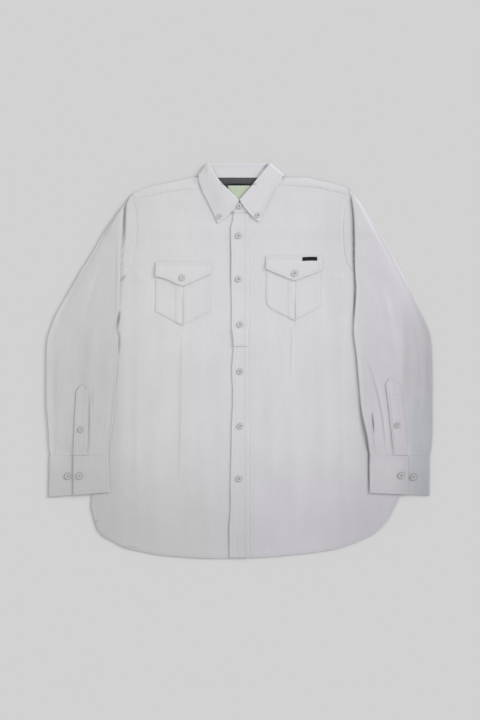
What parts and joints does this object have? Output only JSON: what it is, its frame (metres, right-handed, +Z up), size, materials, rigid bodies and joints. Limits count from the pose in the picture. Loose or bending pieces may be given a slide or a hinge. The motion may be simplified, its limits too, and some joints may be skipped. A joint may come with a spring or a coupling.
{
  "type": "patch-pocket shirt",
  "caption": "Light grey long-sleeved cotton work shirt with a pointed collar, button placket, curved hem and flapped patch pockets, buttoned and laid flat face up.",
  "frame": {"origin": "centre of the laid-out shirt's bounding box, on the surface it rests on", "axes": "+Z up out of the surface, +Y towards the collar, +X towards the wearer's left sleeve"},
  "size_m": [0.7946, 0.8101, 0.0097],
  "materials": {
    "cotton": "matte",
    "dark_cotton": "matte",
    "green_label": "matte",
    "black_label": "matte",
    "button": "satin"
  },
  "bodies": {
    "root": {"back_panel": "cotton", "yoke": "cotton", "yoke_lining": "dark_cotton", "collar_leaf": "cotton", "collar_stand": "cotton", "right_front": "cotton", "left_front": "cotton", "right_sleeve": "cotton", "left_sleeve": "cotton", "right_cuff": "cotton", "left_cuff": "cotton", "right_sleeve_placket": "cotton", "left_sleeve_placket": "cotton", "right_pocket": "cotton", "left_pocket": "cotton", "right_flap": "cotton", "left_flap": "cotton", "placket_upper": "cotton", "placket_lower": "cotton", "neck_label": "green_label", "flap_label": "black_label", "button_01": "button", "button_02": "button", "button_03": "button", "button_04": "button", "button_05": "button", "button_06": "button", "button_07": "button", "button_08": "button", "button_09": "button", "button_10": "button", "button_11": "button", "button_12": "button", "button_13": "button", "button_14": "button", "button_15": "button", "button_16": "button", "button_17": "button"}
  },
  "joints": []
}
